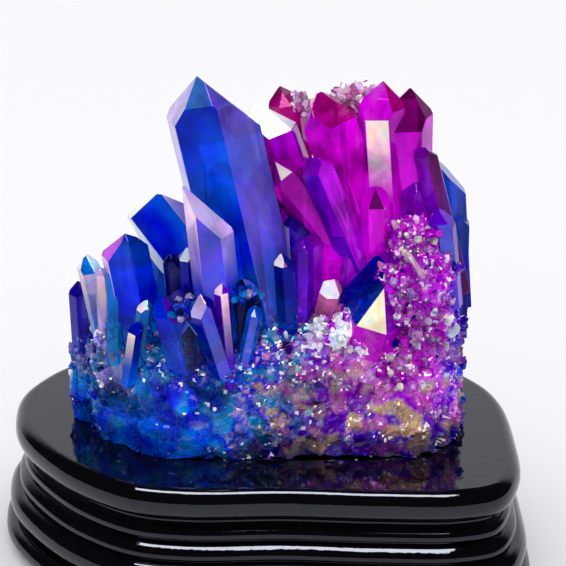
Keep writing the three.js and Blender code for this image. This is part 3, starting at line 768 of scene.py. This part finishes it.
def stand_profile():
    """(outset, height) down the stand's edge, with a sharp groove between mouldings."""
    profile = []
    for start, end, inset, bulge, covered, shoulder in MOULDINGS:
        out = shoulder * math.sin(SHOULDER_SLOPE)
        down = shoulder * math.cos(SHOULDER_SLOPE)
        half = (end - start - down) / 2
        first = math.radians(covered)
        for step in range(MOULDING_STEPS + 1):
            angle = first + (math.pi - first) * step / MOULDING_STEPS
            slope_limit = half * math.sin(angle) * math.tan(SHOULDER_SLOPE)
            past = (bulge - out) * math.cos(angle) < slope_limit
            outset = -inset + (bulge - out) * math.sin(angle) + out * past
            depth = start + half * (1 - math.cos(angle)) + down * past
            profile.append((outset, STAND_TOP - depth))
    profile.append((-STAND_FOOT_INSET, 0.0))
    return profile


def stand():
    bm = bmesh.new()
    rim = closed_curve(STAND_OUTLINE, STAND_TURN_STEPS)
    rings = []
    for outset, height in stand_profile():
        ring = []
        for place, outwards in rim:
            spot = place + outwards * outset
            ring.append(bm.verts.new((Vector((spot.x, spot.y, height)) + STAND_SHIFT) * MM))
        rings.append(ring)
    for upper, lower in zip(rings, rings[1:]):
        for i in range(STAND_TURN_STEPS):
            j = (i + 1) % STAND_TURN_STEPS
            face = bm.faces.new((upper[i], upper[j], lower[j], lower[i]))
            face.smooth = True
    bm.faces.new(rings[0])
    bm.faces.new(list(reversed(rings[-1])))
    bmesh.ops.recalc_face_normals(bm, faces=bm.faces)
    for edge in bm.edges:
        edge.smooth = edge.calc_face_angle(0.0) < GROOVE_ANGLE
    obj = new_object("lacquered_stand", bm)
    obj.data.materials.append(lacquer_material())
    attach(obj, "root")
    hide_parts("stand")


# Materials ----------------------------------------------------------------------------


def material(name):
    mat = bpy.data.materials.new(name)
    mat.use_nodes = True
    tree = mat.node_tree
    tree.nodes.clear()
    out = tree.nodes.new("ShaderNodeOutputMaterial")
    shader = tree.nodes.new("ShaderNodeBsdfPrincipled")
    tree.links.new(shader.outputs[0], out.inputs["Surface"])
    return mat, tree, shader, out


def feed(tree, socket, value):
    """Sets a socket to a number or a colour, or links it to another node's output."""
    if isinstance(value, tuple):
        socket.default_value = (*value, 1)
    elif isinstance(value, (int, float)):
        socket.default_value = value
    else:
        tree.links.new(value, socket)


def math_node(tree, operation, first, second):
    node = tree.nodes.new("ShaderNodeMath")
    node.operation = operation
    feed(tree, node.inputs[0], first)
    feed(tree, node.inputs[1], second)
    return node.outputs[0]


def noise_node(tree, scale, detail=2.0, distortion=0.0, stretch=(1, 1, 1)):
    """Noise in the frame's metres; its scale is in features to the metre."""
    place = tree.nodes.new("ShaderNodeTexCoord")
    mapping = tree.nodes.new("ShaderNodeMapping")
    mapping.inputs["Scale"].default_value = stretch
    node = tree.nodes.new("ShaderNodeTexNoise")
    node.inputs["Scale"].default_value = scale
    node.inputs["Detail"].default_value = detail
    node.inputs["Distortion"].default_value = distortion
    tree.links.new(place.outputs["Object"], mapping.inputs["Vector"])
    tree.links.new(mapping.outputs[0], node.inputs["Vector"])
    return node.outputs["Fac"]


def range_node(tree, value, low, high, to_low=0.0, to_high=1.0):
    node = tree.nodes.new("ShaderNodeMapRange")
    node.interpolation_type = "SMOOTHSTEP"
    limits = {"From Min": low, "From Max": high, "To Min": to_low, "To Max": to_high}
    for name, limit in limits.items():
        node.inputs[name].default_value = limit
    tree.links.new(value, node.inputs["Value"])
    return node.outputs[0]


def value_mix(tree, share, first, second):
    node = tree.nodes.new("ShaderNodeMix")
    for number, value in ((0, share), (2, first), (3, second)):
        feed(tree, node.inputs[number], value)
    return node.outputs[0]


def colour_mix(tree, blend, share, first, second):
    node = tree.nodes.new("ShaderNodeMix")
    node.data_type = "RGBA"
    node.blend_type = blend
    for number, value in ((0, share), (6, first), (7, second)):
        feed(tree, node.inputs[number], value)
    return node.outputs[2]


def rainbow_node(tree, value, colours, start, span):
    """Colours that follow each other evenly, as the value goes over a span."""
    node = tree.nodes.new("ShaderNodeValToRGB")
    stops = node.color_ramp.elements
    while len(stops) < len(colours):
        stops.new(0.5)
    for i, (stop, colour) in enumerate(zip(stops, colours)):
        stop.position = start + span * i / (len(colours) - 1)
        stop.color = (*colour, 1)
    tree.links.new(value, node.inputs["Fac"])
    return node.outputs["Color"]


def add_bump(tree, shader, height, strength, distance):
    node = tree.nodes.new("ShaderNodeBump")
    node.inputs["Strength"].default_value = strength
    node.inputs["Distance"].default_value = distance
    tree.links.new(height, node.inputs["Height"])
    tree.links.new(node.outputs[0], shader.inputs["Normal"])


MOST_NOISE = (0.3, 0.7)  # nearly all of a noise node's values are between these
WHITE = (1.0, 1.0, 1.0)
QUARTZ_IOR = 1.54
QUARTZ_ROUGHNESS = 0.06
QUARTZ_TRANSMISSION = (0.62, 0.15)  # of a face without glint, and of one with the most
DEPTH_COLOUR = (0.6, 0.5, 1.0)
DEPTH_DENSITY = 6
FILM_SATURATION = 1.1
FILM_HUES = (0.485, 0.51)  # 0.5 leaves a painted colour as it is
FILM_CLOUDS = (0.4, 1.2)  # darkest and lightest
MOST_STREAK = 0.4
STREAK_WHITENESS = 0.12
FILM_IOR = 2.0
FILM_THICKNESS = (220, 560)  # nm
LEAST_FILM_GLINT = 0.3  # below this the film's colours are the painted ones alone
LEAST_WHITE_SHEEN = 0.15
# Pale colours of the painted glints, mixed into a face by its glint.
RAINBOW = (LILAC, PALE_PINK, STRAW, ICE, LILAC)
RAINBOW_SHARE = 0.45
ALONG_HEIGHT = (1, 1, 0.1)  # streaks that run up and down
ACROSS_HEIGHT = (1, 1, 18)  # fine growth lines across the crystals


def quartz_material():
    """Clear quartz under a thin metal-oxide coating, whose colours are painted on its faces.

    The painted alpha is a painted glint: a painted reflection of the light, which makes a face
    less clear, paler in the rainbow's colours, whiter in its sheen and, above LEAST_FILM_GLINT,
    gives it interference colours."""
    mat, tree, shader, out = material("aura_quartz")
    film_and_glint = tree.nodes.new("ShaderNodeAttribute")
    film_and_glint.attribute_name = "film_and_glint"
    painted, glint = film_and_glint.outputs["Color"], film_and_glint.outputs["Alpha"]
    metal = tree.nodes.new("ShaderNodeAttribute")
    metal.attribute_name = "metal"
    tree.links.new(metal.outputs["Fac"], shader.inputs["Metallic"])

    drift = noise_node(tree, scale=38, detail=2, distortion=0.8)
    hue = range_node(tree, drift, *MOST_NOISE, *FILM_HUES)
    tint = tree.nodes.new("ShaderNodeHueSaturation")
    tint.inputs["Saturation"].default_value = FILM_SATURATION
    tree.links.new(hue, tint.inputs["Hue"])
    tree.links.new(painted, tint.inputs["Color"])
    tinted = tint.outputs["Color"]
    haze = noise_node(tree, scale=70, detail=4, distortion=0.6)
    clouds = range_node(tree, haze, *MOST_NOISE, *FILM_CLOUDS)
    body = colour_mix(tree, "MULTIPLY", 1.0, tinted, clouds)
    grain = noise_node(tree, scale=170, detail=3, distortion=0.4, stretch=ALONG_HEIGHT)
    streaks = range_node(tree, grain, 0.55, 0.75, to_high=MOST_STREAK)
    pale = colour_mix(tree, "MIX", STREAK_WHITENESS, tinted, WHITE)
    body = colour_mix(tree, "MIX", streaks, body, pale)
    swirls = noise_node(tree, scale=120, detail=1, distortion=1.5)
    rainbow = rainbow_node(tree, swirls, RAINBOW, start=0.3, span=0.4)
    share = math_node(tree, "MULTIPLY", glint, RAINBOW_SHARE)
    colour = colour_mix(tree, "MIX", share, body, rainbow)
    tree.links.new(colour, shader.inputs["Base Color"])

    clear = range_node(tree, glint, 0, 1, *QUARTZ_TRANSMISSION)
    tree.links.new(clear, shader.inputs["Transmission Weight"])
    shader.inputs["Roughness"].default_value = QUARTZ_ROUGHNESS
    shader.inputs["IOR"].default_value = QUARTZ_IOR
    whiteness = math_node(tree, "MAXIMUM", glint, LEAST_WHITE_SHEEN)
    sheen = colour_mix(tree, "MIX", whiteness, painted, WHITE)
    tree.links.new(sheen, shader.inputs["Specular Tint"])

    shader.inputs["Thin Film IOR"].default_value = FILM_IOR
    unevenness = noise_node(tree, scale=60, detail=2, distortion=0.5)
    depths = range_node(tree, unevenness, *MOST_NOISE, *FILM_THICKNESS)
    filmed = math_node(tree, "GREATER_THAN", glint, LEAST_FILM_GLINT)
    thickness = math_node(tree, "MULTIPLY", depths, filmed)
    tree.links.new(thickness, shader.inputs["Thin Film Thickness"])

    lines = noise_node(tree, scale=60, detail=3, stretch=ACROSS_HEIGHT)
    lined = range_node(tree, noise_node(tree, scale=90, detail=1), 0.45, 0.65)
    height = math_node(tree, "MULTIPLY", lines, lined)
    add_bump(tree, shader, height, strength=0.08, distance=0.0003)

    inside = tree.nodes.new("ShaderNodeVolumeAbsorption")
    inside.inputs["Color"].default_value = (*DEPTH_COLOUR, 1)
    inside.inputs["Density"].default_value = DEPTH_DENSITY
    tree.links.new(inside.outputs[0], out.inputs["Volume"])
    return mat


def lacquer_material():
    """Deep black lacquer, whose surface is very slightly uneven."""
    mat, tree, shader, _ = material("black_lacquer")
    shader.inputs["Base Color"].default_value = (0.001, 0.001, 0.0015, 1)
    shader.inputs["Roughness"].default_value = 0.03
    shader.inputs["Specular Tint"].default_value = (0.8, 0.83, 1.0, 1)
    shader.inputs["IOR"].default_value = 1.55
    grain = noise_node(tree, scale=480, detail=3)
    add_bump(tree, shader, grain, strength=0.2, distance=0.0002)
    return mat


# The stone ----------------------------------------------------------------------------


def quartz_cluster():
    matrix, spots = matrix_object()
    crystals = []
    for number, row in enumerate(CRYSTALS):
        bm = painted_bmesh()
        add_crystal(bm, *row, bevel=BEVEL)
        crystals.append(stone_object(f"crystal_{number}", bm))
    chance = random.Random(SEED)
    small = scattered_crystals(chance, spots)
    small += clumped_crystals(chance)
    druse = druse_groups(small)
    cluster = grown_together("quartz_crystals", [*crystals, *druse, matrix])
    cluster.data.materials.append(quartz_material())
    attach(cluster, "root")
    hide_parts("quartz_cluster")


# Studio -------------------------------------------------------------------------------

FLOOR_COLOUR = (0.52, 0.52, 0.522)
ROOM_COLOUR = (0.97, 0.97, 1.0)
# The room's light: on surfaces, as it is seen, and the lowest and highest in mirrors and
# through glass.
ROOM_LIGHT = 2.0
SEEN_LIGHT = 1.0
MIRROR_LIGHT = (0.02, 0.95)
GLASS_LIGHT = (1.5, 2.4)


def floor():
    bm = bmesh.new()
    bmesh.ops.create_grid(bm, x_segments=1, y_segments=1, size=4.0)
    obj = new_object("studio_floor", bm)
    mat, _, shader, _ = material("pale_floor")
    shader.inputs["Base Color"].default_value = (*FLOOR_COLOUR, 1)
    shader.inputs["Roughness"].default_value = 0.6
    obj.data.materials.append(mat)


def studio_world():
    """A bright room for the eye, the glass and the floor, and a dark one for the lacquer to
    mirror, with a pale backdrop behind the object and up to the ceiling."""
    world = bpy.data.worlds.new("studio")
    bpy.context.scene.world = world
    world.use_nodes = True
    tree = world.node_tree
    tree.nodes.clear()

    direction = tree.nodes.new("ShaderNodeTexCoord")
    split = tree.nodes.new("ShaderNodeSeparateXYZ")
    tree.links.new(direction.outputs["Generated"], split.inputs[0])
    behind = range_node(tree, split.outputs["Y"], -0.15, 0.35)
    far_behind = range_node(tree, split.outputs["Y"], 0.4, 0.8)
    below_ceiling = range_node(tree, split.outputs["Z"], 0.52, 0.72, 1.0, 0.0)
    backdrop = math_node(tree, "MULTIPLY", far_behind, below_ceiling)
    mirrored = range_node(tree, backdrop, 0, 1, *MIRROR_LIGHT)
    through_glass = range_node(tree, behind, 0, 1, *GLASS_LIGHT)
    path = tree.nodes.new("ShaderNodeLightPath")
    lights = {
        "Is Glossy Ray": mirrored,
        "Is Transmission Ray": through_glass,
        "Is Camera Ray": SEEN_LIGHT,
    }
    strength = ROOM_LIGHT
    for ray, light in lights.items():
        strength = value_mix(tree, path.outputs[ray], strength, light)
    out = tree.nodes.new("ShaderNodeOutputWorld")
    sky = tree.nodes.new("ShaderNodeBackground")
    sky.inputs["Color"].default_value = (*ROOM_COLOUR, 1)
    tree.links.new(strength, sky.inputs["Strength"])
    tree.links.new(sky.outputs[0], out.inputs[0])


def area_light(name, location, aim, size, power):
    data = bpy.data.lights.new(name, "AREA")
    data.shape = "RECTANGLE"
    data.size, data.size_y = size
    data.energy = power
    obj = bpy.data.objects.new(name, data)
    obj.location = location
    obj.rotation_euler = (Vector(aim) - Vector(location)).to_track_quat("-Z", "Y").to_euler()
    obj.visible_diffuse = False
    bpy.context.scene.collection.objects.link(obj)


CAMERA_ELEVATION = math.radians(23)
CAMERA_DISTANCE = 0.480
CAMERA_TARGET = Vector((0.00375, 0, 0.074)) + STAND_SHIFT * MM
LENS = 122.1
SENSOR = 36
LIGHT_BOUNCES = 24


def camera():
    data = bpy.data.cameras.new("camera")
    data.sensor_width = SENSOR
    data.lens = LENS
    data.clip_start = 0.01
    obj = bpy.data.objects.new("camera", data)
    back = Vector((0, -math.cos(CAMERA_ELEVATION), math.sin(CAMERA_ELEVATION)))
    obj.location = CAMERA_TARGET + back * CAMERA_DISTANCE
    obj.rotation_euler = (-back).to_track_quat("-Z", "Y").to_euler()
    bpy.context.scene.collection.objects.link(obj)
    bpy.context.scene.camera = obj


quartz_cluster()
stand()
floor()
studio_world()
area_light(
    "overhead",
    location=(-0.085, -0.22, 0.90),
    aim=(-0.02, 0, 0.05),
    size=(0.69, 0.27),
    power=10,
)
camera()
scene = bpy.context.scene
scene.view_settings.view_transform = "Standard"
scene.cycles.max_bounces = LIGHT_BOUNCES
scene.cycles.transmission_bounces = LIGHT_BOUNCES
scene.cycles.caustics_reflective = False
scene.cycles.caustics_refractive = False
